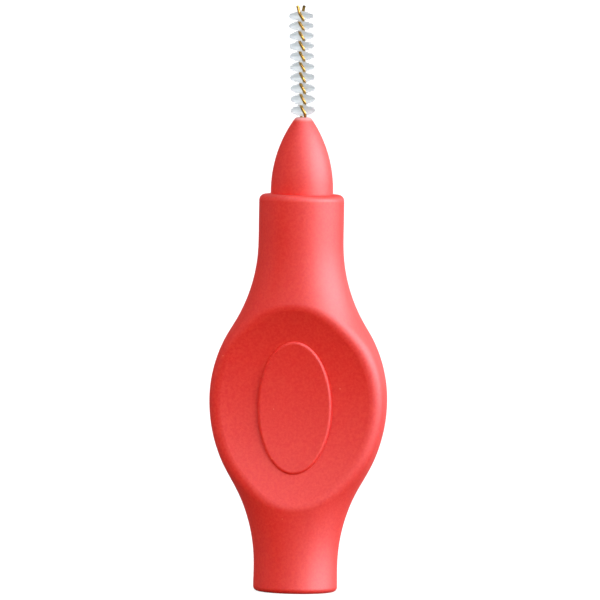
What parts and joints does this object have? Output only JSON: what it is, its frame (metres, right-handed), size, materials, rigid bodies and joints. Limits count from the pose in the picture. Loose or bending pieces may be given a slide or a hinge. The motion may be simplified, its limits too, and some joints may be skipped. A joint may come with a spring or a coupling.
{
  "type": "interdental brush",
  "caption": "Interdental brush: a twisted wire with fine nylon bristles stands on a tapered nose, set in a soft grip with a flat dished thumb paddle.",
  "frame": {"origin": "centre of the tail's end face, which the brush stands on", "axes": "+Z from the tail to the brush tip, +X across the thumb paddle, -Y out of its front face"},
  "size_m": [0.0194, 0.0104, 0.0645],
  "materials": {
    "grip_elastomer": "satin coral-red elastomer with a fine moulded grain",
    "nose_plastic": "satin coral-red moulding",
    "wire": "drawn steel wire with a gold tone",
    "filament": "clear pale nylon filament"
  },
  "bodies": {
    "handle": {"grip_handle": "grip_elastomer", "nose_core": "nose_plastic", "wire_anchor": "wire"},
    "brush_head": {"wire_strand_a": "wire", "wire_strand_b": "wire", "bristle_fan_01": "filament", "bristle_fan_02": "filament", "bristle_fan_03": "filament", "bristle_fan_04": "filament", "bristle_fan_05": "filament", "bristle_fan_06": "filament", "bristle_fan_07": "filament", "bristle_fan_08": "filament", "bristle_fan_09": "filament", "bristle_fan_10": "filament"}
  },
  "joints": [
    {"name": "wire_bend", "type": "hinge", "parent": "handle", "child": "brush_head", "pos_m": [0, 0, 0.0524], "axis": [1, 0, 0], "range_deg": [-45, 45]}
  ]
}
